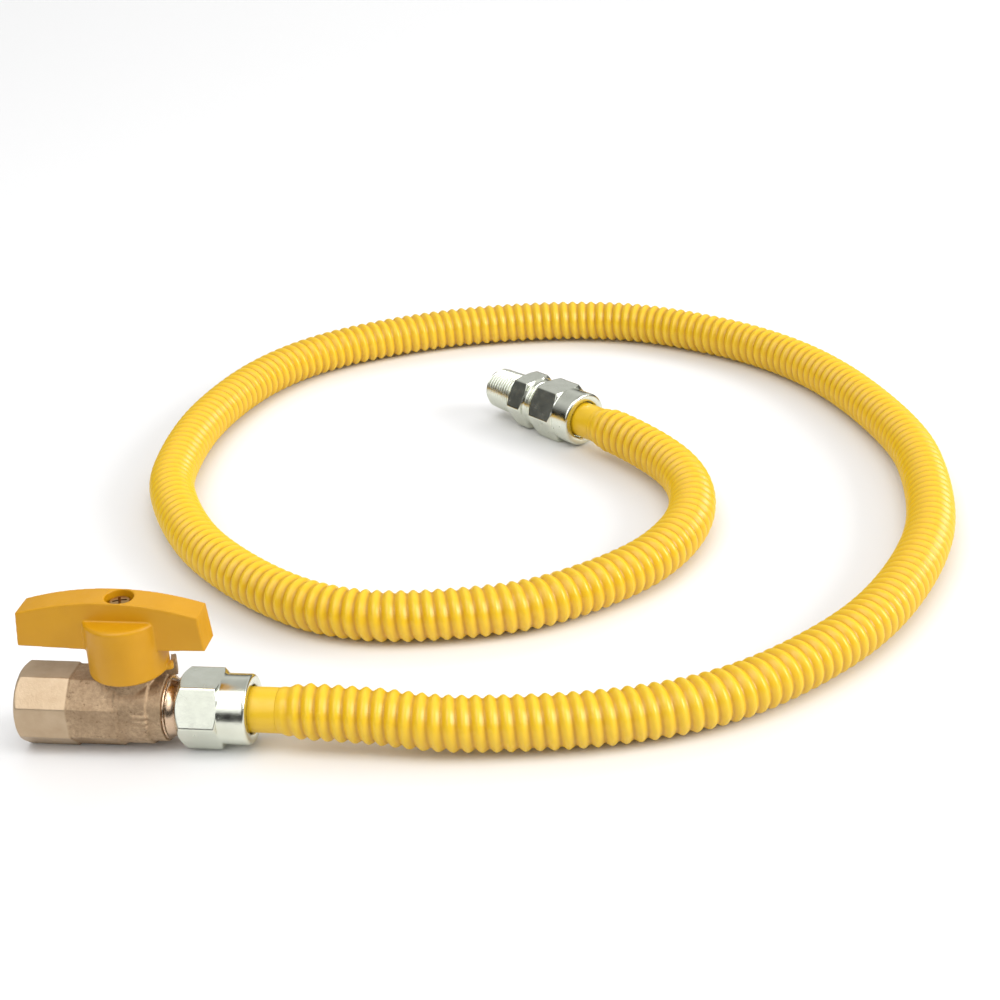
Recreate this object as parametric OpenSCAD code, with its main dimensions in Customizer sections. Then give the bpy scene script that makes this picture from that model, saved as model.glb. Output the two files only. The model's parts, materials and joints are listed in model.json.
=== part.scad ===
// Quarter-turn gas ball valve with a coated corrugated flexible connector.
// Frame: X along the valve towards the hose, Z up, origin on the surface that
// everything rests on, below the middle of the valve and its flare nut.

/* [Valve body] */
// Length from the inlet face to the back of the flare nut
valve_length = 90; // [86:1:94]
// Inlet octagon, across flats
inlet_across_flats = 30; // [29:0.5:32]
// Length of the inlet octagon
inlet_length = 21; // [20:0.5:24]
// Radius of the cast barrel round the ball
barrel_radius = 14.2; // [14:0.1:15]
// Inlet pipe thread, radius at its pitch line
inlet_thread_radius = 9.9; // [9.5:0.1:10.2]
// Usable depth of the inlet thread
inlet_thread_depth = 16; // [14:0.5:17]

/* [Ball, seats and stem] */
// Radius of the ball
ball_radius = 10.2; // [10:0.1:10.4]
// Radius of the port through the ball
port_radius = 6; // [5:0.5:6.5]
// Stem shaft radius
stem_radius = 4; // [4:0.1:4.4]
// Running clearance round the stem and the ball
running_gap = 0.05; // [0.03:0.01:0.08]

/* [Handle] */
// Length of the T bar along its top
bar_length = 70.5; // [66:0.5:74]
// How far the bar's middle lies on the inlet side of the stem
bar_offset = 4.2; // [2:0.1:5]
// How much further each end of the bar reaches at its foot
bar_splay = 1.3; // [0:0.1:2]
// Thickness of the T bar
bar_thickness = 12; // [12:0.5:14]
// Height of the bar top above the resting surface, at its middle
bar_top = 62.8; // [60:0.2:66]
// Rise of the arched top from the tips to the middle
bar_rise = 5.3; // [3:0.1:6]
// Height of the bar ends
bar_tip_height = 14; // [12:0.5:15]
// Radius of the hub at its foot
hub_radius = 15.1; // [14.6:0.1:15.4]

/* [Flare fittings] */
// Flare nut, across flats
nut_across_flats = 27; // [26.5:0.1:28]
// Length of the nut's hexagon
nut_hex_length = 16; // [14:0.5:17]
// Length of the nut's round collar
nut_collar_length = 11; // [9:0.5:12]
// Radius of the male flare thread
flare_thread_radius = 11.9; // [11.7:0.1:12.1]
// Outlet adapter hexagon, across flats
adapter_across_flats = 25.4; // [25:0.1:26]
// Outlet pipe thread, mean outside radius
outlet_thread_radius = 10.6; // [10.3:0.1:10.8]
// Length of the outlet pipe thread
outlet_thread_length = 21; // [18:0.5:22]

/* [Hose] */
// Radius over the corrugation crests
hose_radius = 10.8; // [10.4:0.1:11]
// Thickness of the coating
coating_thickness = 0.9; // [0.8:0.05:1]
// Radius over the plain coated ends
cuff_radius = 8.7; // [8.6:0.05:8.8]
// Length of the plain coated end outside each nut
cuff_length = 10; // [8:1:16]

/* [Hidden] */
$fn = 96;

brass = "#b8a078";
zinc = "#c9cfc6";
stainless = "#b9bcc0";
white_seal = "#f2f1ec";
black_rubber = "#2a2a2c";
chrome = "#d8dade";
handle_yellow = "#d39a2c";
coating_yellow = "#f2bf26";

// Valve layout along X.
axis_z = inlet_across_flats / 2;
octagon_chamfer = 1.6;
thread_lead_in = 1.3;
inlet_x = -valve_length / 2;
exit_x = valve_length / 2;
stem_x = -1.4;
octagon_end_x = inlet_x + inlet_length;
barrel_step_x = 6.8;
barrel_end_x = 12.3;
step_radius = barrel_radius - 1.1;
neck_ring = 1;
neck_ring_radius = 12.2;
neck_radius = 11.1;
pad_end_x = -5.5;
pad_across_flats = inlet_across_flats - 1.2;
collar_rise = 0.6;
mark_x = 1.5;
mark_length = 6;
mark_height = 0.9;
mark_rise = 0.5;
gas_radius = 7;

// Ball chamber and seats.
chamber_radius = 11;
seat_near = 5.8;
seat_far = 10.6;
chamber_start_x = stem_x - seat_far;
tailpiece_start_x = stem_x + seat_far;
ball_cup_radius = ball_radius + running_gap;
slot_width = 4;
slot_floor_z = axis_z + 7.7;

// Stem, from the tang in the ball's slot up to the flats in the handle.
tang_gap = 0.2;
tang_width = slot_width - 2 * tang_gap;
tang_length = 8.4;
stem_bore_radius = stem_radius + running_gap;
shoulder_disc_radius = 5.5;
pocket_radius = 5.8;
pocket_roof_z = axis_z + 13.4;
washer_height = 0.9;
disc_foot_z = axis_z + 10.4;
disc_top_z = pocket_roof_z - washer_height - running_gap;
boss_radius = 9.5;
boss_top_z = axis_z + 19;
stem_top_z = axis_z + 31;
flats_foot_z = boss_top_z + 2;
flats_width = 6;
groove_radius = 2.95;
groove_height = 1.6;
lower_groove_z = pocket_roof_z + 0.9;
upper_groove_z = lower_groove_z + 2.2;
ring_section = 0.53;

// Handle.
bar_foot_sag = 1.2;
hub_foot_z = boss_top_z - 2;
hub_top_z = bar_top - 7.8;
hub_top_radius = hub_radius - 0.2;
skirt_radius = boss_radius + 0.5;
screw_floor_z = bar_top - 6;
recess_radius = 5.4;
screw_radius = 2;
screw_hole_radius = 2.3;
screw_length = 7;
head_radius = 4.6;
head_side = 2;
head_crown = 3.4;
cross_length = 5.4;
cross_turn = 20;
handle_washer_height = 0.9;
handle_washer_radius = 4.8;
lug_angle = 16;
lug_half_width = 2;
lug_gap = 0.35;
lug_side = lug_half_width + lug_gap;
lug_reach = 17.5;
lug_top_z = 34.6;
arm_foot = 12.5;
arm_height = 4.1;
rib_width = 3.4;
rib_root = 13.5;
rib_reach = 16.6;
rib_height = 3;

// Flare joint. Distance u is measured from the hose exit into the fitting.
nut_length = nut_hex_length + nut_collar_length;
nut_wall = 5;
nut_hole_gap = 0.8;
nut_rim = 1.4;
hex_chamfer = 1.4;
collar_radius = nut_across_flats / 2;
nose_tip_u = 11.2;
nose_base_u = 15;
nose_tip_radius = 7.2;
tube_end_radius = 8;
flare_wall = 1.14;
clamp_hole_radius = 8.1;
clamp_radius = 11.5;
clamp_cone_u = 10.96;
clamp_front_u = 13.3;
flare_reach = 3;
cuff_in_nut = 4;
cuff_chamfer = 0.3;
adapter_neck = 6.5;
adapter_hex_length = 10;
adapter_hex_u = nut_length + adapter_neck;
adapter_thread_u = adapter_hex_u + adapter_hex_length;
adapter_end_u = adapter_thread_u + outlet_thread_length;

// Far fitting: it lies on the surface on one flat of its nut.
outlet_heading = 140;
outlet_axis_z = nut_across_flats / 2;

// The hose's route: its centre line from one plain end to the other.
hose_route = [
    [55, 0, 15], [90, 0, 14], [125, 0, 12], [180, 10, 11], [225, 30, 11],
    [265, 70, 11], [290, 115, 11], [305, 170, 11], [305, 230, 11], [295, 275, 11],
    [270, 330, 11], [240, 370, 11], [200, 400, 11], [150, 420, 11], [95, 420, 11],
    [40, 405, 11], [-10, 375, 11], [-40, 335, 11], [-55, 280, 11], [-55, 225, 11],
    [-45, 185, 11], [-15, 135, 11], [30, 95, 11], [70, 80, 11], [115, 85, 11],
    [150, 100, 11], [185, 135, 11], [200, 180, 11], [190, 225, 12], [149.37, 269.71, 13.5]
];
hose_spans = len(hose_route) - 1;
hose_rings = 38;
ramp = 0.2;
hose_sides = 12;
tube_radius = hose_radius - coating_thickness;
tube_wall = 0.4;
hose_end = hose_route[hose_spans];
outlet_exit = hose_end + cuff_length * [cos(outlet_heading), sin(outlet_heading), 0];

// A solid of revolution along +X from points [x, radius].
module turned(points)
    rotate([90, 0, 90]) rotate_extrude() polygon([for (p = points) [p[1], p[0]]]);

// A prism along +X with the given number of sides and one flat facing down.
module bar_stock(sides, across_flats, x0, x1)
    translate([x0, 0, 0]) rotate([0, 90, 0]) rotate([0, 0, 180 / sides])
        cylinder(h = x1 - x0, r = across_flats / 2 / cos(180 / sides), $fn = sides);

// A hexagon along +X with a flat facing down.
module hexagon(across_flats, x0, x1)
    translate([x0, 0, 0]) rotate([90, 0, 90])
        cylinder(h = x1 - x0, r = across_flats / 2 / cos(30), $fn = 6);

// A round bar along +X.
module round_bar(radius, x0, x1)
    translate([x0, 0, 0]) rotate([0, 90, 0]) cylinder(h = x1 - x0, r = radius);

// Places a fitting drawn along +u at the valve end or at the outlet end.
module at_valve_end()
    translate([exit_x, 0, axis_z]) rotate([0, 0, 180]) children();

module at_outlet_end()
    translate(outlet_exit) rotate([0, 0, outlet_heading]) children();

// ---- Valve body and what it holds ----

module octagon_end() {
    corner = inlet_across_flats / 2 / cos(22.5);
    intersection() {
        bar_stock(8, inlet_across_flats, inlet_x, octagon_end_x);
        turned([[inlet_x, 0], [inlet_x, corner - octagon_chamfer],
                [inlet_x + octagon_chamfer, corner + 0.2],
                [octagon_end_x, corner + 0.2], [octagon_end_x, 0]]);
    }
}

module body_casting() {
    translate([0, 0, axis_z]) {
        octagon_end();
        bar_stock(8, pad_across_flats, octagon_end_x, pad_end_x);
        round_bar(barrel_radius, octagon_end_x, barrel_step_x);
        round_bar(step_radius, octagon_end_x, barrel_end_x);
        translate([pad_end_x, 0, 0]) turned([[0, 0], [0, barrel_radius + collar_rise],
            [1, barrel_radius + collar_rise], [1 + collar_rise, barrel_radius], [1 + collar_rise, 0]]);
    }
    // Boss that guides the stem.
    translate([stem_x, 0, axis_z]) cylinder(h = boss_top_z - axis_z, r = boss_radius);
    // Arm and lug that stop the handle at each end of its quarter turn.
    translate([stem_x, 0, 0]) rotate([0, 0, lug_angle]) {
        translate([0, -lug_half_width, axis_z + arm_foot])
            cube([lug_reach, 2 * lug_half_width, arm_height]);
        translate([hub_radius + lug_gap, -lug_half_width, axis_z + arm_foot])
            cube([lug_reach - hub_radius - lug_gap, 2 * lug_half_width, lug_top_z - axis_z - arm_foot]);
    }
    // Raised plain bars cast into the front of the barrel.
    for (row = [0:2])
        translate([mark_x, 0, axis_z]) rotate([6 - 9 * row, 0, 0])
            translate([0, -barrel_radius - mark_rise, 0])
                cube([mark_length, 1 + mark_rise, mark_height]);
}

module valve_body() color(brass)
    difference() {
        body_casting();
        translate([0, 0, axis_z]) {
            round_bar(inlet_thread_radius, inlet_x - 1, inlet_x + inlet_thread_depth);
            turned([[inlet_x - 0.1, 0], [inlet_x - 0.1, inlet_thread_radius + thread_lead_in],
                    [inlet_x + thread_lead_in - 0.1, inlet_thread_radius],
                    [inlet_x + thread_lead_in - 0.1, 0]]);
            round_bar(gas_radius, inlet_x + 1, barrel_end_x);
            round_bar(chamber_radius, chamber_start_x, barrel_end_x + 1);
        }
        translate([stem_x, 0, axis_z]) {
            cylinder(h = pocket_roof_z - axis_z, r = pocket_radius);
            cylinder(h = boss_top_z - axis_z + 1, r = stem_bore_radius);
        }
    }

// A seat ring with a spherical cup; side is -1 for the inlet, 1 for the outlet.
module seat_ring(side) {
    near = stem_x + side * seat_near;
    far = stem_x + side * seat_far;
    translate([0, 0, axis_z]) difference() {
        round_bar(chamber_radius, min(near, far), max(near, far));
        round_bar(gas_radius, min(near, far) - 1, max(near, far) + 1);
        translate([stem_x, 0, 0]) sphere(r = ball_cup_radius);
    }
}

module inlet_seat() color(white_seal) seat_ring(-1);
module outlet_seat() color(white_seal) seat_ring(1);

module ball() color(chrome)
    difference() {
        translate([stem_x, 0, axis_z]) sphere(r = ball_radius);
        translate([0, 0, axis_z]) round_bar(port_radius, stem_x - 12, stem_x + 12);
        translate([stem_x - slot_width / 2, -12, slot_floor_z]) cube([slot_width, 24, 12]);
    }

// The male flare end that screws into the barrel and holds the seats in.
module outlet_tailpiece() color(brass)
    translate([exit_x, 0, axis_z]) rotate([0, 0, 180]) {
        spigot_u = exit_x - tailpiece_start_x;
        barrel_u = exit_x - barrel_end_x;
        ring_u = barrel_u - neck_ring;
        turned([[nose_tip_u, port_radius + 0.5], [nose_tip_u, nose_tip_radius],
                [nose_base_u, nose_tip_radius + nose_base_u - nose_tip_u],
                [nose_base_u, flare_thread_radius - 0.8],
                [nose_base_u + 0.8, flare_thread_radius],
                [nut_length - 0.8, flare_thread_radius], [nut_length - 0.8, neck_radius],
                [ring_u, neck_radius], [ring_u, neck_ring_radius], [barrel_u, neck_ring_radius],
                [barrel_u, chamber_radius], [spigot_u, chamber_radius],
                [spigot_u, port_radius + 0.5]]);
    }

// ---- Stem and its seals ----

module stem() color(brass)
    translate([stem_x, 0, 0]) difference() {
        union() {
            // Tang in the ball's slot.
            translate([-tang_width / 2, -tang_length / 2, slot_floor_z + tang_gap])
                cube([tang_width, tang_length, disc_foot_z - slot_floor_z]);
            // Disc that keeps the stem from blowing out.
            translate([0, 0, disc_foot_z]) cylinder(h = disc_top_z - disc_foot_z, r = shoulder_disc_radius);
            translate([0, 0, disc_foot_z]) cylinder(h = flats_foot_z - disc_foot_z, r = stem_radius);
            intersection() {
                translate([0, 0, flats_foot_z]) cylinder(h = stem_top_z - flats_foot_z, r = stem_radius);
                translate([-stem_radius, -flats_width / 2, flats_foot_z])
                    cube([2 * stem_radius, flats_width, stem_top_z - flats_foot_z]);
            }
        }
        for (z = [lower_groove_z, upper_groove_z])
            translate([0, 0, z]) difference() {
                cylinder(h = groove_height, r = stem_radius + 1);
                translate([0, 0, -1]) cylinder(h = groove_height + 2, r = groove_radius);
            }
        translate([0, 0, stem_top_z - screw_length - 1])
            cylinder(h = screw_length + 2, r = screw_radius);
    }

module stem_thrust_washer() color(white_seal)
    translate([stem_x, 0, pocket_roof_z - washer_height]) difference() {
        cylinder(h = washer_height, r = pocket_radius);
        translate([0, 0, -1]) cylinder(h = washer_height + 2, r = stem_bore_radius);
    }

module o_ring(groove_z)
    translate([stem_x, 0, groove_z + groove_height / 2]) rotate_extrude()
        translate([groove_radius + ring_section + 0.01, 0]) circle(r = ring_section, $fn = 24);

module lower_stem_o_ring() color(black_rubber) o_ring(lower_groove_z);
module upper_stem_o_ring() color(black_rubber) o_ring(upper_groove_z);

// ---- Handle ----

// Front outline of the T bar, with the arched top as an arc.
module bar_outline() {
    half = bar_length / 2;
    arch_radius = (half * half + bar_rise * bar_rise) / (2 * bar_rise);
    sweep = asin(half / arch_radius);
    tip_foot = bar_top - bar_rise - bar_tip_height;
    polygon(concat(
        [for (i = [-8:8]) let (a = i * sweep / 8)
            [arch_radius * sin(a), bar_top - arch_radius * (1 - cos(a))]],
        [[half + bar_splay, tip_foot], [0, tip_foot - bar_foot_sag], [-half - bar_splay, tip_foot]]));
}

// Ear on the hub, drawn along +X with its near side at y = 0.
module stop_ear() {
    cube([rib_reach - rib_width / 2 - rib_root, rib_width, rib_height]);
    translate([rib_reach - rib_width / 2 - rib_root, rib_width / 2, 0])
        cylinder(h = rib_height, r = rib_width / 2);
}

module handle() color(handle_yellow)
    translate([stem_x, 0, 0]) difference() {
        union() {
            translate([-bar_offset, bar_thickness / 2, 0]) rotate([90, 0, 0])
                linear_extrude(height = bar_thickness) bar_outline();
            rotate_extrude() polygon([[0, hub_foot_z], [hub_radius - 0.8, hub_foot_z],
                [hub_radius, hub_foot_z + 0.8], [hub_top_radius, hub_top_z - 0.8],
                [hub_top_radius - 0.8, hub_top_z], [0, hub_top_z]]);
            // Ears that meet the body's lug: one when open, one when closed.
            for (closed = [0, 1])
                rotate([0, 0, lug_angle + 90 * closed])
                    translate([rib_root, closed == 1 ? lug_side : -lug_side - rib_width, hub_foot_z])
                        stop_ear();
        }
        translate([0, 0, hub_foot_z - 1]) cylinder(h = 5, r = skirt_radius);
        intersection() {
            translate([0, 0, hub_foot_z]) cylinder(h = stem_top_z - hub_foot_z, r = stem_radius);
            translate([-stem_radius, -flats_width / 2, hub_foot_z])
                cube([2 * stem_radius, flats_width, stem_top_z - hub_foot_z]);
        }
        translate([0, 0, hub_foot_z]) cylinder(h = bar_top, r = screw_hole_radius);
        translate([0, 0, screw_floor_z]) cylinder(h = bar_top, r = recess_radius);
    }

module handle_washer() color(zinc)
    translate([stem_x, 0, screw_floor_z]) difference() {
        cylinder(h = handle_washer_height, r = handle_washer_radius);
        translate([0, 0, -1]) cylinder(h = handle_washer_height + 2, r = screw_hole_radius);
    }

module handle_screw() color(brass)
    translate([stem_x, 0, 0]) difference() {
        head_z = screw_floor_z + handle_washer_height;
        rotate_extrude() polygon([[0, stem_top_z - screw_length],
            [screw_radius, stem_top_z - screw_length], [screw_radius, head_z],
            [head_radius, head_z], [head_radius, head_z + head_side],
            [head_radius - 1, head_z + head_crown - 0.3], [0, head_z + head_crown]]);
        for (turn = [0, 90])
            rotate([0, 0, cross_turn + turn])
                translate([-cross_length / 2, -0.5, head_z + head_side - 0.4])
                    cube([cross_length, 1, head_crown]);
    }

// ---- Flare joint, the same at both ends, drawn along u ----

module flare_nut() {
    corner = nut_across_flats / 2 / cos(30);
    difference() {
        union() {
            intersection() {
                hexagon(nut_across_flats, nut_collar_length, nut_length);
                turned([[nut_collar_length, 0], [nut_collar_length, corner - hex_chamfer],
                        [nut_collar_length + 0.9, corner + 0.1], [nut_length - 1.8, corner + 0.1],
                        [nut_length, corner - 2.2], [nut_length, 0]]);
            }
            turned([[0, 0], [0, collar_radius - nut_rim],
                    [nut_rim * 0.3, collar_radius - nut_rim * 0.3],
                    [nut_rim, collar_radius], [nut_collar_length + 1, collar_radius],
                    [nut_collar_length + 1, 0]]);
        }
        round_bar(cuff_radius + nut_hole_gap, -1, nut_wall + 1);
        turned([[nut_wall, 0], [nut_wall, flare_thread_radius], [nut_length - 0.9, flare_thread_radius],
                [nut_length + 0.1, flare_thread_radius + 0.8], [nut_length + 0.1, 0]]);
    }
}

// Steel ring that presses the flare onto the nose.
module clamp_ring()
    turned([[nut_wall, clamp_hole_radius], [clamp_cone_u, clamp_hole_radius],
            [clamp_front_u, clamp_hole_radius + clamp_front_u - clamp_cone_u],
            [clamp_front_u, clamp_radius], [nut_wall, clamp_radius]]);

// The tube's own end, flared to 45 degrees.
module tube_flare() {
    lip_u = nose_tip_u + flare_reach;
    lip_r = nose_tip_radius + flare_reach;
    turned([[-cuff_length, nose_tip_radius], [nose_tip_u, nose_tip_radius], [lip_u, lip_r],
            [lip_u - flare_wall / 2, lip_r + flare_wall / 2],
            [nose_tip_u + tube_end_radius - nose_tip_radius - flare_wall, tube_end_radius],
            [-cuff_length, tube_end_radius]]);
}

module coated_cuff()
    turned([[-cuff_length, tube_end_radius], [cuff_in_nut, tube_end_radius],
            [cuff_in_nut, cuff_radius - cuff_chamfer],
            [cuff_in_nut - cuff_chamfer, cuff_radius], [-cuff_length, cuff_radius]]);

module valve_end_nut() color(zinc) at_valve_end() flare_nut();
module valve_end_clamp_ring() color(zinc) at_valve_end() clamp_ring();
module valve_end_flare() color(stainless) at_valve_end() tube_flare();
module valve_end_cuff() color(coating_yellow) at_valve_end() coated_cuff();

module outlet_end_nut() color(zinc) at_outlet_end() flare_nut();
module outlet_end_clamp_ring() color(zinc) at_outlet_end() clamp_ring();
module outlet_end_flare() color(stainless) at_outlet_end() tube_flare();
module outlet_end_cuff() color(coating_yellow) at_outlet_end() coated_cuff();

// Adapter from the flare joint to an outside pipe thread.
module adapter() {
    corner = adapter_across_flats / 2 / cos(30);
    relief = flare_thread_radius - 0.8;
    difference() {
        union() {
            intersection() {
                hexagon(adapter_across_flats, adapter_hex_u, adapter_thread_u);
                turned([[adapter_hex_u, 0], [adapter_hex_u, corner - hex_chamfer],
                        [adapter_hex_u + 0.9, corner + 0.1], [adapter_thread_u - 0.9, corner + 0.1],
                        [adapter_thread_u, corner - hex_chamfer], [adapter_thread_u, 0]]);
            }
            turned([[nose_tip_u, 0], [nose_tip_u, nose_tip_radius],
                    [nose_base_u, nose_tip_radius + nose_base_u - nose_tip_u],
                    [nose_base_u, relief], [nose_base_u + 0.8, flare_thread_radius],
                    [adapter_hex_u - 1.2, flare_thread_radius], [adapter_hex_u - 1.2, relief],
                    [adapter_hex_u + 1, relief], [adapter_hex_u + 1, 0]]);
            turned([[adapter_thread_u - 1, 0], [adapter_thread_u - 1, outlet_thread_radius],
                    [adapter_end_u - 1, outlet_thread_radius],
                    [adapter_end_u, outlet_thread_radius - 1], [adapter_end_u, 0]]);
        }
        round_bar(gas_radius - 0.2, nose_tip_u - 1, adapter_end_u + 1);
    }
}

module outlet_adapter() color(zinc) at_outlet_end() adapter();

// ---- Hose ----

function unit(v) = v / norm(v);

// Route point i, with one extra point beyond each end that sets the heading there.
function route_point(i) =
    i < 0 ? hose_route[1] - 2 * norm(hose_route[1] - hose_route[0]) * [1, 0, 0] :
    i > hose_spans ? hose_route[hose_spans - 1]
        + 2 * norm(hose_end - hose_route[hose_spans - 1])
            * [cos(outlet_heading), sin(outlet_heading), 0] :
    hose_route[i];

// Catmull-Rom curve through the route, and its direction, at span i plus fraction t.
function curve(i, t) = let (a = route_point(i - 1), b = route_point(i),
                            c = route_point(i + 1), d = route_point(i + 2))
    0.5 * (2 * b + (c - a) * t + (2 * a - 5 * b + 4 * c - d) * t * t
           + (3 * b - a - 3 * c + d) * t * t * t);
function heading(i, t) = let (a = route_point(i - 1), b = route_point(i),
                              c = route_point(i + 1), d = route_point(i + 2))
    unit((c - a) + 2 * (2 * a - 5 * b + 4 * c - d) * t + 3 * (3 * b - a - 3 * c + d) * t * t);
function span_of(u) = min(hose_spans - 1, floor(u));

// Stations along the curve: a short ramp at each end and even steps between.
stations = concat([0, ramp],
    [for (i = [1:hose_rings - 4]) i * hose_spans / (hose_rings - 3)],
    [hose_spans - ramp, hose_spans]);

function ring(u, r) = let (i = span_of(u), p = curve(i, u - i), t = heading(i, u - i),
                           side = unit(cross([0, 0, 1], t)), up = cross(t, side))
    [for (k = [0:hose_sides - 1]) let (a = 360 * k / hose_sides)
        p + r * (cos(a) * side + sin(a) * up)];

// A hollow pipe swept along the route; its radii step down to the plain ends.
module swept_pipe(r_in, r_out, end_in, end_out) {
    last = len(stations) - 1;
    function at_end(j) = j == 0 || j == last;
    points = [for (j = [0:last], outside = [1, 0])
        each ring(stations[j], outside == 1 ? (at_end(j) ? end_out : r_out)
                                            : (at_end(j) ? end_in : r_in))];
    function outer(j, k) = (2 * j) * hose_sides + k % hose_sides;
    function inner(j, k) = (2 * j + 1) * hose_sides + k % hose_sides;
    faces = concat(
        [for (j = [0:last - 1], k = [0:hose_sides - 1])
            each [[outer(j, k), outer(j, k + 1), outer(j + 1, k + 1)],
                  [outer(j, k), outer(j + 1, k + 1), outer(j + 1, k)],
                  [inner(j, k), inner(j + 1, k + 1), inner(j, k + 1)],
                  [inner(j, k), inner(j + 1, k), inner(j + 1, k + 1)]]],
        [for (k = [0:hose_sides - 1])
            each [[inner(0, k), inner(0, k + 1), outer(0, k + 1), outer(0, k)],
                  [outer(last, k), outer(last, k + 1), inner(last, k + 1), inner(last, k)]]]);
    polyhedron(points, faces);
}

module hose_tube() color(stainless)
    swept_pipe(tube_radius - tube_wall, tube_radius, nose_tip_radius, tube_end_radius);

module hose_coating() color(coating_yellow)
    swept_pipe(tube_radius, hose_radius, tube_end_radius, cuff_radius);

valve_body();
inlet_seat();
ball();
outlet_seat();
outlet_tailpiece();
stem();
stem_thrust_washer();
lower_stem_o_ring();
upper_stem_o_ring();
handle();
handle_washer();
handle_screw();
valve_end_nut();
valve_end_clamp_ring();
valve_end_flare();
valve_end_cuff();
hose_tube();
hose_coating();
outlet_end_cuff();
outlet_end_flare();
outlet_end_clamp_ring();
outlet_end_nut();
outlet_adapter();
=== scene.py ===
"""Looks of the gas ball valve and its coated hose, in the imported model's frame (metres)."""
import json
import math

import bpy
import numpy as np
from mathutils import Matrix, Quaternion, Vector


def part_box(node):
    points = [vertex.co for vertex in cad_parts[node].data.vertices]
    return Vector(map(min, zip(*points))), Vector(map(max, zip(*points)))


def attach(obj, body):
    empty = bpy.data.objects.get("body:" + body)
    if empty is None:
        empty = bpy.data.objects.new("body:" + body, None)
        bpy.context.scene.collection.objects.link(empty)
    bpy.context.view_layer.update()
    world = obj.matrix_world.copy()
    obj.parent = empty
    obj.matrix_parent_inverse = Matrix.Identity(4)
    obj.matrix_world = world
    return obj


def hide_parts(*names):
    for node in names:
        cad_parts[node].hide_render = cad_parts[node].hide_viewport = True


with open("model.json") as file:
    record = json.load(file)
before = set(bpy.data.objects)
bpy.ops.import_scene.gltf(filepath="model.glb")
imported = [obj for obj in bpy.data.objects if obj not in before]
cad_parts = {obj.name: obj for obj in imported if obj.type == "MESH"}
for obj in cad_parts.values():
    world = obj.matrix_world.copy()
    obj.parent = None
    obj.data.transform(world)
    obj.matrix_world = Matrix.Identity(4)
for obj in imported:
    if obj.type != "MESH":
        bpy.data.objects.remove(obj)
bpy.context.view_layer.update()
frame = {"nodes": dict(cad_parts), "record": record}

MM = 0.001


# ---------------------------------------------------------------- places from the frame

def mount(name):
    return next(m for m in frame["record"]["mounts"] if m["name"] == name)


BODY_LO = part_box("valve_body")[0]
NUT_LO, NUT_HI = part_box("valve_end_nut")
TAIL_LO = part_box("outlet_tailpiece")[0]
AXIS_Z = mount("inlet")["pos_m"][2]
OUTLET_AXIS = Vector(mount("outlet")["axis"])

# The hose: its real sizes, and the same route as the CAD tube.
HOSE_RADIUS = 10.8 * MM
GROOVE_RADIUS = 9.35 * MM
COATING = 0.9 * MM
CUFF_RADIUS = 8.7 * MM
CUFF_LENGTH = 10 * MM
RIDGE_PITCH = 5.28 * MM
SWELL_LENGTH = 10 * MM
CREST_WIDTH = 0.75
RIDGE_GROWTH = 0.8
STEEL_WALL = 0.3 * MM
# Painted value on the hose's plain ends, where the ridges fade out: midway between the painted groove shade
# and the painted crest highlight.
PLAIN_PAINTED_SHADE = 0.6
HOSE_ROUTE_MM = [
    (55, 0, 15), (90, 0, 14), (125, 0, 12), (180, 10, 11), (225, 30, 11),
    (265, 70, 11), (290, 115, 11), (305, 170, 11), (305, 230, 11), (295, 275, 11),
    (270, 330, 11), (240, 370, 11), (200, 400, 11), (150, 420, 11), (95, 420, 11),
    (40, 405, 11), (-10, 375, 11), (-40, 335, 11), (-55, 280, 11), (-55, 225, 11),
    (-45, 185, 11), (-15, 135, 11), (30, 95, 11), (70, 80, 11), (115, 85, 11),
    (150, 100, 11), (185, 135, 11), (200, 180, 11), (190, 225, 12), (149.37, 269.71, 13.5),
]

# Fittings are drawn along u, the distance from the hose exit into the fitting.
VALVE_EXIT = Vector((NUT_HI.x, 0.0, AXIS_Z))
OUTLET_EXIT = Vector(HOSE_ROUTE_MM[-1]) * MM + CUFF_LENGTH * OUTLET_AXIS
INTO_VALVE = Vector((-1, 0, 0))
NUT_FLATS = 27 * MM
NUT_LENGTH = NUT_HI.x - NUT_LO.x
COLLAR_LENGTH = 11 * MM
COLLAR_RADIUS = 13.5 * MM
NUT_HOLE = 9.5 * MM
FLARE_THREAD = 11.9 * MM
ADAPTER_FLATS = 25.4 * MM
OCTAGON_LENGTH = 21 * MM
BARREL_END = 12.3 * MM
NECK_RING = 1 * MM
SPIGOT = 11 * MM
ADAPTER_HEX = NUT_LENGTH + 6.5 * MM
PIPE_THREAD = mount("outlet")["dims"]["r_mm"] * MM
PIPE_THREAD_START = ADAPTER_HEX + 10 * MM
PIPE_THREAD_LENGTH = 21 * MM
PIPE_THREAD_END = PIPE_THREAD_START + PIPE_THREAD_LENGTH
GAS_WAY = 6.8 * MM
NUT_RIM = 1.4 * MM
NUT_WALL = 5 * MM
NOSE_TIP = 11.2 * MM
NOSE_BASE = 15 * MM
THREAD_RELIEF = FLARE_THREAD - 0.9 * MM
THREAD_PITCH = 1.5875 * MM
THREAD_DEPTH = 0.75 * MM
THREAD_CREST = 0.35
PIPE_PITCH = 1.814 * MM
PIPE_DEPTH = 0.9 * MM
PIPE_TAPER = 1 / 32
CORNER_SOFTNESS = 0.12 * MM
CHAMFER_SOFTNESS = 0.1 * MM
HEXAGON = 1.0  # stands in a profile for the radius of a hexagonal ring
FINE_STEP = 0.08 * MM
PLAIN_STEP = 0.5 * MM


# ---------------------------------------------------------------- camera

CAMERA_AT = Vector((0.2425, -0.5703, 0.3899))
CAMERA_AZIMUTH = math.radians(9.81)
CAMERA_DIP = math.radians(26.18)
CAMERA_ROLL = math.radians(3.34)
LENS = 66.6
SENSOR_WIDTH = 36.0


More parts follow.
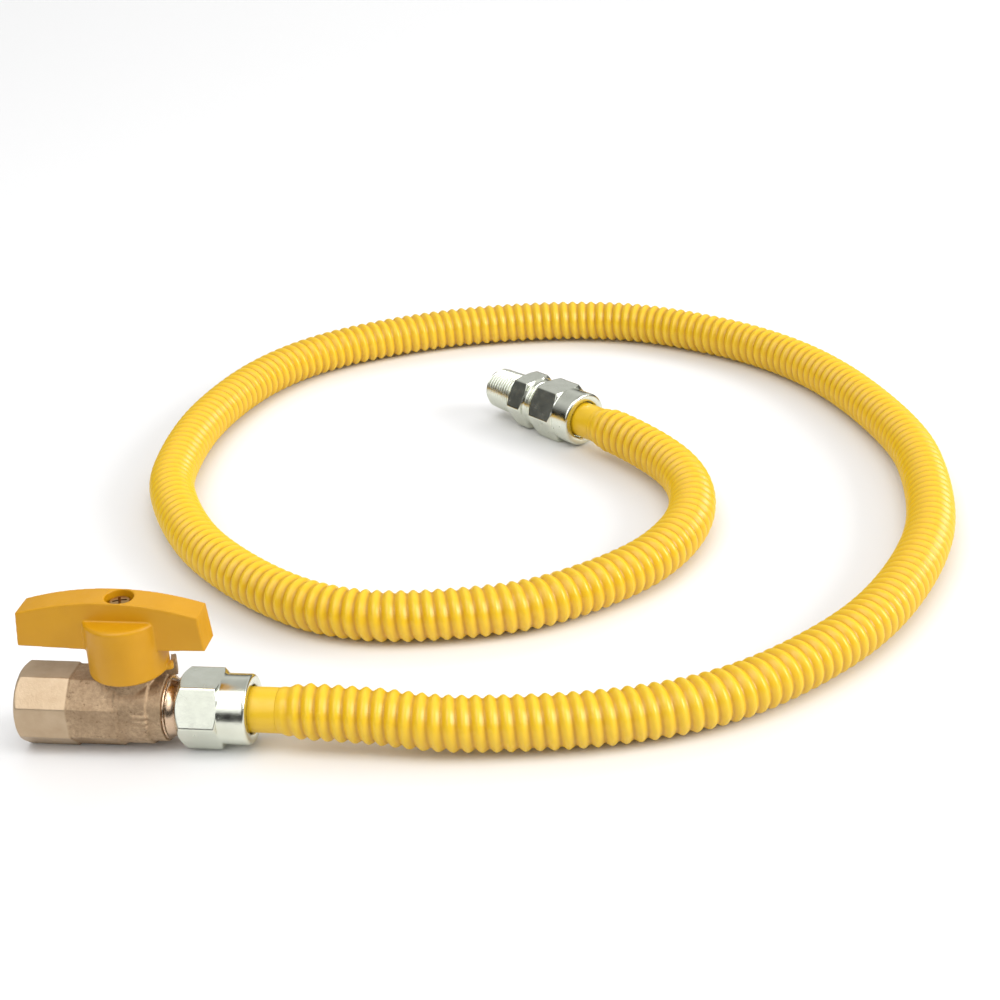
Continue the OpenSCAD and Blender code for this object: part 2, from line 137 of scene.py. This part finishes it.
def add_camera():
    data = bpy.data.cameras.new("camera")
    data.lens = LENS
    data.sensor_width = SENSOR_WIDTH
    data.clip_start = 0.02
    data.clip_end = 50.0
    camera = bpy.data.objects.new("camera", data)
    bpy.context.collection.objects.link(camera)
    ahead = Vector((-math.sin(CAMERA_AZIMUTH) * math.cos(CAMERA_DIP),
                    math.cos(CAMERA_AZIMUTH) * math.cos(CAMERA_DIP),
                    -math.sin(CAMERA_DIP)))
    camera.location = CAMERA_AT
    camera.rotation_mode = "QUATERNION"
    camera.rotation_quaternion = Quaternion(ahead, CAMERA_ROLL) @ ahead.to_track_quat("-Z", "Y")
    bpy.context.scene.camera = camera


# ---------------------------------------------------------------- meshes

def make_object(name, points, faces, smooth=True):
    mesh = bpy.data.meshes.new(name)
    mesh.from_pydata([tuple(p) for p in points], [], faces)
    mesh.validate()
    mesh.update()
    mesh.shade_smooth() if smooth else mesh.shade_flat()
    made = bpy.data.objects.new(name, mesh)
    bpy.context.collection.objects.link(made)
    return made


def ring_mesh(name, rings, painted_shades=None):
    """A closed band of rings: the last ring joins the first, as round a pipe's wall."""
    rings = np.asarray(rings)
    count, around, _ = rings.shape
    index = np.arange(count * around).reshape(count, around)
    a = index
    b = np.roll(index, -1, axis=1)
    c = np.roll(b, -1, axis=0)
    d = np.roll(index, -1, axis=0)
    faces = np.stack([a, b, c, d], axis=-1).reshape(-1, 4)
    made = make_object(name, rings.reshape(-1, 3), faces.tolist())
    if painted_shades is not None:
        # The painted shade goes into a point attribute: painted shade in the grooves, a painted highlight on
        # the crests.
        layer = made.data.attributes.new("crest_and_painted_shade", "FLOAT", "POINT")
        layer.data.foreach_set("value", np.asarray(painted_shades, dtype=np.float32).ravel())
    return made


def fitting_frame(at, axis):
    """Unit vectors of a fitting: along it, sideways and up."""
    side = Vector((0, 0, 1)).cross(axis).normalized()
    return np.array(at), np.array(axis), np.array(side), np.array(axis.cross(side))


def turned_piece(name, at, axis, profile, around, shape):
    """A turned ring of metal: profile is a list of (u, radius), and shape(u, angles, r) gives each reach."""
    origin, along, side, up = fitting_frame(at, axis)
    angles = np.linspace(0, 2 * math.pi, around, endpoint=False)
    spokes = np.cos(angles)[:, None] * side + np.sin(angles)[:, None] * up
    return ring_mesh(name, [origin + u * along + shape(u, angles, radius)[:, None] * spokes
                            for u, radius in profile])


def soft_min(values, softness):
    """The least of several numbers, with a rounded change from one to the next."""
    values = np.asarray(values)
    low = values.min(axis=0)
    return low - softness * np.log(np.exp(-(values - low) / softness).sum(axis=0))


def hexagon_reach(angles, across_flats):
    """Distance to a hexagon with a flat facing down, with softened corners."""
    reaches = []
    for k in range(6):
        off = np.cos(angles - math.radians(30 + 60 * k))
        near = off > 0.3
        reaches.append(np.where(near, across_flats / 2 / np.where(near, off, 1.0), 1.0))
    return soft_min(reaches, CORNER_SOFTNESS)


def chamfered_hexagon(angles, across_flats, cone):
    """Distance to a hexagon that a chamfer's cone cuts at the given radius."""
    return soft_min([hexagon_reach(angles, across_flats), np.full(len(angles), cone)], CHAMFER_SOFTNESS)


def thread_depth(u, angles, pitch, depth):
    """Depth of a right-hand screw thread at distance u, round the given angles."""
    turn = (u / pitch + angles / (2 * math.pi)) % 1.0
    return depth * np.clip((np.abs(turn * 2 - 1) - THREAD_CREST / 2) / (1 - THREAD_CREST), 0, 1)


def steps(start, end, size):
    return np.linspace(start, end, max(2, int(round(abs(end - start) / size)) + 1))


# ---------------------------------------------------------------- hose

def hose_line(step):
    """Catmull-Rom curve through the route, cut into even steps."""
    route = [Vector(p) * MM for p in HOSE_ROUTE_MM]
    first = route[1] - 2 * (route[1] - route[0]).length * Vector((1, 0, 0))
    last = route[-2] + 2 * (route[-1] - route[-2]).length * OUTLET_AXIS
    ends = [first, *route, last]
    line = []
    for i in range(1, len(ends) - 2):
        a, b, c, d = (np.array(p) for p in ends[i - 1:i + 3])
        for t in np.linspace(0, 1, 60, endpoint=False):
            line.append(0.5 * (2 * b + (c - a) * t + (2 * a - 5 * b + 4 * c - d) * t ** 2
                               + (3 * b - a - 3 * c + d) * t ** 3))
    line.append(np.array(route[-1]))
    line = np.array(line)
    run = np.concatenate([[0], np.cumsum(np.linalg.norm(np.diff(line, axis=0), axis=1))])
    even = steps(0, run[-1], step)
    return np.stack([np.interp(even, run, line[:, k]) for k in range(3)], axis=1), even


def pipe_rings(line, run, inset, around):
    """Rings of the corrugated wall, a given inset inside the outer skin."""
    ahead = np.gradient(line, axis=0)
    ahead /= np.linalg.norm(ahead, axis=1)[:, None]
    side = np.cross([0, 0, 1], ahead)
    side /= np.linalg.norm(side, axis=1)[:, None]
    up = np.cross(ahead, side)
    angles = np.linspace(0, 2 * math.pi, around, endpoint=False)
    phase = run[:, None] / RIDGE_PITCH - angles[None, :] / (2 * math.pi)
    crest_and_painted_shade = (0.5 + 0.5 * np.cos(2 * math.pi * phase)) ** CREST_WIDTH
    from_end = np.minimum(run, run[-1] - run)[:, None]
    grown = np.clip(from_end / SWELL_LENGTH, 0, 1)
    swell = grown * grown * (3 - 2 * grown)
    ridge = grown ** RIDGE_GROWTH
    reach = (CUFF_RADIUS + swell * (GROOVE_RADIUS - CUFF_RADIUS)
             + ridge * (HOSE_RADIUS - GROOVE_RADIUS) * crest_and_painted_shade - inset)
    spokes = (np.cos(angles)[None, :, None] * side[:, None, :]
              + np.sin(angles)[None, :, None] * up[:, None, :])
    # Painted shade and highlight: a colour value that is low in the grooves and high on the crests, and
    # fades to the plain value at the ends.
    painted_shade = PLAIN_PAINTED_SHADE + ridge * (crest_and_painted_shade - PLAIN_PAINTED_SHADE)
    return line[:, None, :] + reach[:, :, None] * spokes, painted_shade


def corrugated_pipe(name, inset, wall, step, around):
    """A thin-walled corrugated pipe: out along the outer skin and back along the inner one."""
    line, run = hose_line(step)
    outside, crest_and_painted_shade = pipe_rings(line, run, inset, around)
    inside, inner_crest_and_painted_shade = pipe_rings(line, run, inset + wall, around)
    rings = np.concatenate([outside, inside[::-1]])
    # Both skins carry the painted groove shade and crest highlight.
    painted_shades = np.concatenate([crest_and_painted_shade, inner_crest_and_painted_shade[::-1]])
    return ring_mesh(name, rings, painted_shades), line


def add_hose():
    fine = RIDGE_PITCH / 10
    coating, line = corrugated_pipe("hose_coating_skin", 0.0, COATING, fine, 44)
    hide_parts("hose_coating")
    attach(coating, "valve")
    tube, _ = corrugated_pipe("hose_steel_tube", COATING, STEEL_WALL, RIDGE_PITCH / 6, 20)
    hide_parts("hose_tube")
    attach(tube, "valve")
    return coating, tube, line


# ---------------------------------------------------------------- materials

class Nodes:
    """A short way to write a node material."""

    def __init__(self, name):
        self.material = bpy.data.materials.new(name)
        self.material.use_nodes = True
        self.tree = self.material.node_tree
        self.shader = self.tree.nodes["Principled BSDF"]

    def add(self, kind, **settings):
        node = self.tree.nodes.new(kind)
        for key, value in settings.items():
            setattr(node, key, value)
        return node

    def link(self, source, target):
        self.tree.links.new(source, target)

    def place(self):
        return self.add("ShaderNodeTexCoord").outputs["Object"]

    def noise(self, scale, detail=4.0, roughness=0.55, stretch=None):
        texture = self.add("ShaderNodeTexNoise")
        texture.inputs["Scale"].default_value = scale
        texture.inputs["Detail"].default_value = detail
        texture.inputs["Roughness"].default_value = roughness
        source = self.place()
        if stretch is not None:
            mapping = self.add("ShaderNodeMapping")
            mapping.inputs["Scale"].default_value = stretch
            self.link(source, mapping.inputs["Vector"])
            source = mapping.outputs["Vector"]
        self.link(source, texture.inputs["Vector"])
        return texture.outputs["Fac"]

    def ramp(self, source, stops):
        node = self.add("ShaderNodeValToRGB")
        elements = node.color_ramp.elements
        while len(elements) < len(stops):
            elements.new(0.5)
        for element, (place, colour) in zip(elements, stops):
            element.position = place
            element.color = (*colour, 1.0)
        self.link(source, node.inputs["Fac"])
        return node.outputs["Color"]

    def span(self, source, low, high, from_low=0.3, from_high=0.7):
        node = self.add("ShaderNodeMapRange")
        node.inputs["From Min"].default_value = from_low
        node.inputs["From Max"].default_value = from_high
        node.inputs["To Min"].default_value = low
        node.inputs["To Max"].default_value = high
        self.link(source, node.inputs["Value"])
        return node.outputs["Result"]

    def bump(self, height, strength, distance, after=None):
        node = self.add("ShaderNodeBump")
        node.inputs["Strength"].default_value = strength
        node.inputs["Distance"].default_value = distance
        self.link(height, node.inputs["Height"])
        if after is not None:
            self.link(after, node.inputs["Normal"])
        return node.outputs["Normal"]

    def mix(self, factor, one, two):
        node = self.add("ShaderNodeMix", data_type="RGBA")
        self.link(factor, node.inputs["Factor"])
        for value, socket in ((one, node.inputs["A"]), (two, node.inputs["B"])):
            if isinstance(value, tuple):
                socket.default_value = (*value, 1.0)
            else:
                self.link(value, socket)
        return node.outputs["Result"]


def satin_skin(n):
    """Gloss and fine grain of the coating."""
    n.link(n.span(n.noise(160.0), 0.30, 0.44), n.shader.inputs["Roughness"])
    n.link(n.bump(n.noise(900.0, 2.0), 0.15, 0.0003), n.shader.inputs["Normal"])
    n.shader.inputs["Specular IOR Level"].default_value = 0.6


def coating_material():
    """Satin yellow polymer, with painted shade darkening the grooves of the corrugation and a painted
    highlight lightening its crests.
    """
    n = Nodes("yellow_coating")
    crest_and_painted_shade = n.add("ShaderNodeAttribute", attribute_name="crest_and_painted_shade").outputs["Fac"]
    # Painted shade and highlight: darker colour in the grooves, lighter colour on the crests.
    tone = n.ramp(crest_and_painted_shade, [(0.0, (0.52, 0.26, 0.004)), (0.30, (0.72, 0.42, 0.006)),
                          (0.70, (0.79, 0.505, 0.009)), (1.0, (0.81, 0.525, 0.014))])
    patch = n.noise(28.0, 3.0)
    n.link(n.mix(n.span(patch, 0.0, 0.25), tone, (0.81, 0.47, 0.01)), n.shader.inputs["Base Color"])
    satin_skin(n)
    return n.material


def cuff_material():
    """The same coating on the plain ends, which carry no corrugation."""
    n = Nodes("yellow_coating_plain")
    patch = n.noise(28.0, 3.0)
    tone = n.ramp(patch, [(0.3, (0.75, 0.47, 0.008)), (0.7, (0.79, 0.49, 0.010))])
    n.link(tone, n.shader.inputs["Base Color"])
    satin_skin(n)
    return n.material


def enamel_material():
    """Satin yellow enamel on the handle's casting."""
    n = Nodes("handle_yellow")
    n.shader.inputs["Specular IOR Level"].default_value = 0.4
    patch = n.noise(60.0, 3.0)
    tone = n.ramp(patch, [(0.25, (0.56, 0.262, 0.001)), (0.75, (0.62, 0.302, 0.003))])
    n.link(tone, n.shader.inputs["Base Color"])
    n.link(n.span(n.noise(220.0), 0.32, 0.46), n.shader.inputs["Roughness"])
    skin = n.bump(n.noise(420.0, 2.0), 0.10, 0.0004)
    n.link(n.bump(n.noise(90.0, 2.0), 0.15, 0.0006, skin), n.shader.inputs["Normal"])
    return n.material


def cast_brass_material():
    """Cast brass: a gritty, pitted skin, and cleaner flats on the machined inlet octagon."""
    n = Nodes("cast_brass")
    split = n.add("ShaderNodeSeparateXYZ")
    n.link(n.place(), split.inputs["Vector"])
    octagon_end = BODY_LO.x + OCTAGON_LENGTH
    rough = n.span(split.outputs["X"], 0.0, 1.0, octagon_end - 0.3 * MM, octagon_end + 0.3 * MM)
    broad = n.noise(70.0, 5.0, 0.6)
    clean = n.ramp(broad, [(0.3, (0.44, 0.32, 0.20)), (0.7, (0.56, 0.43, 0.29))])
    skin = n.ramp(broad, [(0.3, (0.37, 0.255, 0.15)), (0.7, (0.56, 0.415, 0.265))])
    grain = n.noise(700.0, 3.0, 0.7)
    pits = n.noise(380.0, 4.0, 0.65)
    spotted = n.mix(n.span(grain, 0.0, 0.6, 0.38, 0.68), skin, (0.26, 0.17, 0.10))
    pitted = n.mix(n.span(pits, 0.8, 0.0, 0.30, 0.40), spotted, (0.20, 0.125, 0.07))
    n.link(n.mix(rough, clean, pitted), n.shader.inputs["Base Color"])
    n.shader.inputs["Metallic"].default_value = 0.7
    n.link(n.span(rough, 0.40, 0.55, 0.0, 1.0), n.shader.inputs["Roughness"])
    depth = n.add("ShaderNodeMath", operation="MULTIPLY")
    n.link(pits, depth.inputs[0])
    n.link(n.span(rough, 0.25, 1.0, 0.0, 1.0), depth.inputs[1])
    fine = n.bump(grain, 0.4, 0.0003)
    n.link(n.bump(depth.outputs["Value"], 0.7, 0.0006, fine), n.shader.inputs["Normal"])
    return n.material


def turned_metal(name, dark, light, roughness, stretch):
    """Machined metal with fine turning lines across the given axis."""
    n = Nodes(name)
    broad = n.noise(90.0, 4.0)
    n.link(n.ramp(broad, [(0.3, dark), (0.7, light)]), n.shader.inputs["Base Color"])
    n.shader.inputs["Metallic"].default_value = 1.0
    n.link(n.span(n.noise(300.0, 3.0), roughness - 0.06, roughness + 0.06), n.shader.inputs["Roughness"])
    line = n.noise(900.0, 2.0, 0.5, stretch)
    n.link(n.bump(line, 0.06, 0.0002), n.shader.inputs["Normal"])
    return n.material


def plain_material(name, one, two, roughness, metallic=0.0):
    """A moulded or polished piece with slight variation."""
    n = Nodes(name)
    n.link(n.ramp(n.noise(120.0, 3.0), [(0.3, one), (0.7, two)]), n.shader.inputs["Base Color"])
    n.shader.inputs["Metallic"].default_value = metallic
    n.link(n.span(n.noise(400.0, 2.0), roughness - 0.04, roughness + 0.04), n.shader.inputs["Roughness"])
    n.link(n.bump(n.noise(1200.0, 2.0), 0.08, 0.0002), n.shader.inputs["Normal"])
    return n.material


def give(thing, material):
    """Puts one material on an object, in place of what it has."""
    if not thing.data.materials:
        thing.data.materials.append(material)
    for k in range(len(thing.data.materials)):
        thing.data.materials[k] = material
    for k in range(len(thing.material_slots)):
        thing.material_slots[k].material = material


# ---------------------------------------------------------------- refined castings

def refined_casting(name, node, voxel, smoothing, body):
    """A finer skin over a CAD casting: the same shape with soft cast edges."""
    source = frame["nodes"][node]
    made = bpy.data.objects.new(name, source.data.copy())
    bpy.context.collection.objects.link(made)
    remesh = made.modifiers.new("remesh", "REMESH")
    remesh.mode = "VOXEL"
    remesh.voxel_size = voxel
    smooth = made.modifiers.new("smooth", "SMOOTH")
    smooth.factor = 0.5
    smooth.iterations = smoothing
    graph = bpy.context.evaluated_depsgraph_get()
    mesh = bpy.data.meshes.new_from_object(made.evaluated_get(graph))
    made.modifiers.clear()
    made.data = mesh
    mesh.shade_smooth()
    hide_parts(node)
    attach(made, body)
    return made


# ---------------------------------------------------------------- fittings

def nut_profile():
    """The nut's section, from the rear rim over the outside and back along the bore."""
    rim = NUT_RIM
    outside = [(rim * (1 - math.cos(a)), COLLAR_RADIUS - rim * (1 - math.sin(a)))
               for a in np.linspace(0.05, math.pi / 2, 8)]
    outside += [(u, COLLAR_RADIUS) for u in steps(rim, COLLAR_LENGTH - 0.15 * MM, PLAIN_STEP)[1:]]
    outside += [(u, HEXAGON) for u in steps(COLLAR_LENGTH, COLLAR_LENGTH + 1.6 * MM, FINE_STEP)]
    outside += [(u, HEXAGON) for u in steps(COLLAR_LENGTH + 2 * MM, NUT_LENGTH - 3 * MM, PLAIN_STEP)]
    outside += [(u, HEXAGON) for u in steps(NUT_LENGTH - 2.9 * MM, NUT_LENGTH - 0.1 * MM, FINE_STEP)]
    outside += [(NUT_LENGTH, FLARE_THREAD + 1.1 * MM)]
    bore = [(NUT_LENGTH, FLARE_THREAD + 0.8 * MM), (NUT_LENGTH - 0.9 * MM, FLARE_THREAD),
            (NUT_WALL, FLARE_THREAD), (NUT_WALL, NUT_HOLE), (0.5 * MM, NUT_HOLE),
            (0.0, NUT_HOLE + 0.5 * MM), (0.0, COLLAR_RADIUS - rim - 0.2 * MM)]
    return outside + bore


def nut_shape(u, angles, radius):
    """Turns the profile's rings marked HEXAGON into the chamfered hexagon."""
    if radius != HEXAGON:
        return np.full(len(angles), radius)
    corner = NUT_FLATS / 2 / math.cos(math.radians(30))
    rear = corner - 1.5 * MM + 1.7 * (u - COLLAR_LENGTH)
    front = corner - 2.3 * MM + 1.2 * (NUT_LENGTH - u)
    return chamfered_hexagon(angles, NUT_FLATS, min(rear, front))


def add_nut(name, at, axis, node):
    nut = turned_piece(name, at, axis, nut_profile(), 240, nut_shape)
    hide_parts(node)
    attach(nut, "valve")
    return nut


def flare_end(neck_end_u):
    """Section of a male flare end: bore, nose, cone and threaded neck."""
    section = [(NOSE_TIP + 0.2 * MM, GAS_WAY), (NOSE_TIP, GAS_WAY + 0.15 * MM), (NOSE_TIP, 7.1 * MM),
               (NOSE_TIP + 0.2 * MM, 7.35 * MM), (NOSE_BASE, 11.0 * MM), (NOSE_BASE, THREAD_RELIEF)]
    section += [(u, FLARE_THREAD) for u in steps(NOSE_BASE + 0.8 * MM, neck_end_u, 0.14 * MM)]
    return section


def flare_thread(u, angles, neck_end):
    """Reach of the flare thread, which fades out at the end of the neck."""
    fade = min(1.0, (neck_end - u) / (1.5 * MM))
    return FLARE_THREAD - fade * thread_depth(-u, angles, THREAD_PITCH, THREAD_DEPTH)


def add_adapter():
    """Adapter from the flare joint to the outside pipe thread."""
    neck_end = ADAPTER_HEX - 1.4 * MM
    corner = ADAPTER_FLATS / 2 / math.cos(math.radians(30))
    section = flare_end(neck_end)
    section += [(neck_end + 0.3 * MM, THREAD_RELIEF), (ADAPTER_HEX - 0.02 * MM, THREAD_RELIEF)]
    section += [(u, HEXAGON) for u in steps(ADAPTER_HEX, ADAPTER_HEX + 2 * MM, FINE_STEP)]
    section += [(u, HEXAGON) for u in steps(ADAPTER_HEX + 2.4 * MM, PIPE_THREAD_START - 2.4 * MM, 0.4 * MM)]
    section += [(u, HEXAGON) for u in steps(PIPE_THREAD_START - 2 * MM, PIPE_THREAD_START, FINE_STEP)]
    section += [(PIPE_THREAD_START + 0.02 * MM, PIPE_THREAD - 0.1 * MM)]
    section += [(u, PIPE_THREAD) for u in steps(PIPE_THREAD_START + 0.4 * MM,
                                                PIPE_THREAD_END - 0.02 * MM, 0.15 * MM)]
    section += [(PIPE_THREAD_END, PIPE_THREAD - 1.4 * MM), (PIPE_THREAD_END, GAS_WAY + 0.6 * MM),
                (PIPE_THREAD_END - 0.5 * MM, GAS_WAY)]

    def shape(u, angles, radius):
        if radius == HEXAGON:
            rear = corner - 1.5 * MM + 1.7 * (u - ADAPTER_HEX)
            front = corner - 1.5 * MM + 1.7 * (PIPE_THREAD_START - u)
            return chamfered_hexagon(angles, ADAPTER_FLATS, min(rear, front))
        if radius == FLARE_THREAD:
            return flare_thread(u, angles, neck_end)
        if radius == PIPE_THREAD:
            into = u - PIPE_THREAD_START
            taper = (into - 10 * MM) * PIPE_TAPER
            end = max(0.0, into - 19.4 * MM) * 0.9
            fade = min(1.0, max(0.0, (19.5 * MM - abs(into - 2 * MM)) / (3 * MM)))
            return radius - taper - end - fade * thread_depth(-u, angles, PIPE_PITCH, PIPE_DEPTH)
        return np.full(len(angles), radius)

    adapter = turned_piece("outlet_adapter_metal", OUTLET_EXIT, OUTLET_AXIS, section, 180, shape)
    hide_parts("outlet_adapter")
    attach(adapter, "valve")
    return adapter


def add_tailpiece():
    """Turned brass flare end that screws into the barrel."""
    barrel_u = NUT_HI.x - BARREL_END
    ring_u = barrel_u - NECK_RING
    spigot_u = NUT_HI.x - TAIL_LO.x
    neck_end = NUT_LENGTH - 0.8 * MM
    soft = 0.4 * MM
    ring_edge = 11.8 * MM
    section = flare_end(neck_end)
    section += [(neck_end, 11.1 * MM), (ring_u - 0.8 * MM, 11.05 * MM), (ring_u - 0.2 * MM, 11.3 * MM),
                (ring_u, ring_edge)]
    section += [(ring_u + soft * (1 - math.cos(a)), ring_edge + soft * math.sin(a))
                for a in np.linspace(0.2, math.pi / 2, 5)]
    section += [(barrel_u, ring_edge + soft), (barrel_u, SPIGOT), (spigot_u, SPIGOT), (spigot_u, 6.5 * MM)]

    def shape(u, angles, radius):
        if radius == FLARE_THREAD:
            return flare_thread(u, angles, neck_end)
        return np.full(len(angles), radius)

    tail = turned_piece("outlet_tailpiece_metal", VALVE_EXIT, INTO_VALVE, section, 180, shape)
    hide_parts("outlet_tailpiece")
    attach(tail, "valve")
    return tail


def add_inlet_thread():
    """The inlet's pipe thread, in the metal of the body."""
    pitch_line = mount("inlet")["dims"]["r_mm"] * MM
    buried = pitch_line + 1 * MM
    mouth = BODY_LO.x + 1.0 * MM
    length = 14.8 * MM
    section = [(u, pitch_line) for u in steps(0, length, 0.15 * MM)]
    section += [(length, buried), (0, buried)]

    def shape(u, angles, radius):
        if radius == pitch_line:
            return radius + 0.35 * MM - PIPE_DEPTH * (0.5 - 0.5 * np.cos(
                2 * math.pi * (u / PIPE_PITCH + angles / (2 * math.pi))))
        return np.full(len(angles), radius)

    thread = turned_piece("inlet_pipe_thread", Vector((mouth, 0, AXIS_Z)), Vector((1, 0, 0)),
                          section, 120, shape)
    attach(thread, "valve")
    return thread


# ---------------------------------------------------------------- stage and light

FLOOR_HALF_SIDE = 30.0
FLOOR_DROP = 0.0002


def add_stage():
    side = FLOOR_HALF_SIDE
    floor = make_object("floor", [(-side, -side, 0), (side, -side, 0), (side, side, 0), (-side, side, 0)],
                        [(0, 1, 2, 3)])
    floor.location.z = -FLOOR_DROP
    n = Nodes("floor")
    n.shader.inputs["Base Color"].default_value = (0.82, 0.82, 0.82, 1)
    n.shader.inputs["Roughness"].default_value = 0.9
    give(floor, n.material)


def add_flag():
    """A black card in front, seen only in the metal's reflections."""
    section = [(-0.10, 0.0005), (-0.35, 0.0005), (-0.35, 0.14)]
    points = [(x, y, z) for y, z in section for x in (-0.6, 0.6)]
    flag = make_object("flag", points, [(0, 1, 3, 2), (2, 3, 5, 4)], smooth=False)
    flag.visible_camera = False
    flag.visible_diffuse = False
    flag.visible_shadow = False
    n = Nodes("flag")
    n.shader.inputs["Base Color"].default_value = (0.01, 0.01, 0.01, 1)
    n.shader.inputs["Roughness"].default_value = 1.0
    give(flag, n.material)


def add_light(name, at, target, size, power, mirrored=True):
    data = bpy.data.lights.new(name, "AREA")
    data.shape = "RECTANGLE"
    data.size, data.size_y = size
    data.energy = power
    light = bpy.data.objects.new(name, data)
    light.location = at
    light.visible_glossy = mirrored
    light.rotation_mode = "QUATERNION"
    light.rotation_quaternion = (Vector(target) - Vector(at)).to_track_quat("-Z", "Y")
    bpy.context.collection.objects.link(light)


def add_world():
    """A pale dome, darker low down and to the left, so that metal shows its shape.

    Behind the floor's horizon it is plain and pale.
    """
    world = bpy.data.worlds.new("studio")
    bpy.context.scene.world = world
    world.use_nodes = True
    tree = world.node_tree
    back = tree.nodes["Background"]
    split = tree.nodes.new("ShaderNodeSeparateXYZ")
    tree.links.new(tree.nodes.new("ShaderNodeTexCoord").outputs["Generated"], split.inputs["Vector"])
    height = tree.nodes.new("ShaderNodeValToRGB")
    elements = height.color_ramp.elements
    elements[0].position, elements[0].color = 0.0, (0.02, 0.02, 0.02, 1)
    elements[1].position, elements[1].color = 1.0, (0.65, 0.65, 0.65, 1)
    for spot, grey in ((0.24, 0.05), (0.40, 0.75), (0.52, 1.0), (0.80, 0.70)):
        element = elements.new(spot)
        element.color = (grey, grey, grey, 1)
    behind = tree.nodes.new("ShaderNodeMapRange")
    left = tree.nodes.new("ShaderNodeMapRange")
    for node, numbers in ((behind, (-0.1, 0.7, 0.83, 0.78)), (left, (-0.97, -0.70, 0.12, 1.0))):
        for socket, number in zip(("From Min", "From Max", "To Min", "To Max"), numbers):
            node.inputs[socket].default_value = number
    both = tree.nodes.new("ShaderNodeMath")
    both.operation = "MULTIPLY"
    lean = tree.nodes.new("ShaderNodeMath")
    lean.operation = "MULTIPLY_ADD"
    lean.inputs[1].default_value = 0.1
    tree.links.new(split.outputs["Y"], lean.inputs[0])
    tree.links.new(split.outputs["Z"], lean.inputs[2])
    tree.links.new(lean.outputs["Value"], height.inputs["Fac"])
    tree.links.new(split.outputs["Y"], behind.inputs["Value"])
    tree.links.new(height.outputs["Color"], back.inputs["Color"])
    tree.links.new(split.outputs["X"], left.inputs["Value"])
    tree.links.new(behind.outputs["Result"], both.inputs[0])
    tree.links.new(left.outputs["Result"], both.inputs[1])
    tree.links.new(both.outputs["Value"], back.inputs["Strength"])
    seen = tree.nodes.new("ShaderNodeBackground")
    seen.inputs["Color"].default_value = (0.80, 0.80, 0.80, 1)
    choose = tree.nodes.new("ShaderNodeMixShader")
    tree.links.new(tree.nodes.new("ShaderNodeLightPath").outputs["Is Camera Ray"], choose.inputs["Fac"])
    tree.links.new(back.outputs["Background"], choose.inputs[1])
    tree.links.new(seen.outputs["Background"], choose.inputs[2])
    tree.links.new(choose.outputs["Shader"], tree.nodes["World Output"].inputs["Surface"])


def add_lights():
    add_light("key", (-0.5, -0.9, 1.3), (0.1, 0.1, 0.0), (1.0, 0.8), 3.9)
    add_light("front", (-0.45, -1.30, 0.74), (0.0, 0.0, 0.0), (1.1, 0.9), 2.7)
    add_light("top", (0.12, -0.45, 1.7), (0.12, 0.1, 0.0), (1.8, 0.9), 12)
    add_light("right", (3.0, -0.1, 1.4), (0.03, 0.0, 0.04), (2.0, 1.4), 72)
    add_light("far", (0.1, 2.2, 1.9), (0.1, 1.6, 0.0), (3.5, 1.5), 26, mirrored=False)


# ---------------------------------------------------------------- the object


add_camera()
coating, steel_tube, hose_centre = add_hose()

valve_nut = add_nut("valve_end_nut_metal", VALVE_EXIT, INTO_VALVE, "valve_end_nut")
outlet_nut = add_nut("outlet_end_nut_metal", OUTLET_EXIT, OUTLET_AXIS, "outlet_end_nut")
adapter = add_adapter()
tailpiece = add_tailpiece()
inlet_thread = add_inlet_thread()
body = refined_casting("valve_body_casting", "valve_body", 0.36 * MM, 3, "valve")
handle = refined_casting("handle_casting", "handle", 0.34 * MM, 8, "turning")

zinc = turned_metal("zinc_plate", (0.68, 0.70, 0.60), (0.77, 0.79, 0.69), 0.22, (1, 1, 1))
brass = turned_metal("turned_brass", (0.62, 0.45, 0.31), (0.74, 0.56, 0.40), 0.26, (6, 1, 1))
stainless = turned_metal("stainless", (0.55, 0.56, 0.57), (0.68, 0.69, 0.70), 0.28, (1, 1, 1))
cast = cast_brass_material()
looks = {
    coating: coating_material(), steel_tube: stainless, valve_nut: zinc, outlet_nut: zinc,
    adapter: zinc, tailpiece: brass, inlet_thread: cast, body: cast, handle: enamel_material(),
}
for thing, material in looks.items():
    give(thing, material)

plain_ends = cuff_material()
screw_plate = turned_metal("screw_plate", (0.42, 0.24, 0.08), (0.55, 0.34, 0.14), 0.35, (1, 1, 1))
seal_white = plain_material("seal_white", (0.80, 0.80, 0.77), (0.86, 0.86, 0.84), 0.45)
seal_rubber = plain_material("seal_rubber", (0.015, 0.015, 0.016), (0.03, 0.03, 0.03), 0.55)
ball_chrome = plain_material("ball_chrome", (0.76, 0.77, 0.79), (0.84, 0.85, 0.87), 0.10, 1.0)
node_looks = {
    "valve_end_cuff": plain_ends, "outlet_end_cuff": plain_ends,
    "valve_end_flare": stainless, "outlet_end_flare": stainless,
    "valve_end_clamp_ring": zinc, "outlet_end_clamp_ring": zinc,
    "stem": brass, "ball": ball_chrome, "inlet_seat": seal_white, "outlet_seat": seal_white,
    "stem_thrust_washer": seal_white, "lower_stem_o_ring": seal_rubber,
    "upper_stem_o_ring": seal_rubber, "handle_washer": zinc, "handle_screw": screw_plate,
}
for node, material in node_looks.items():
    give(frame["nodes"][node], material)

add_stage()
add_flag()
add_world()
add_lights()
bpy.context.scene.view_settings.view_transform = "Standard"
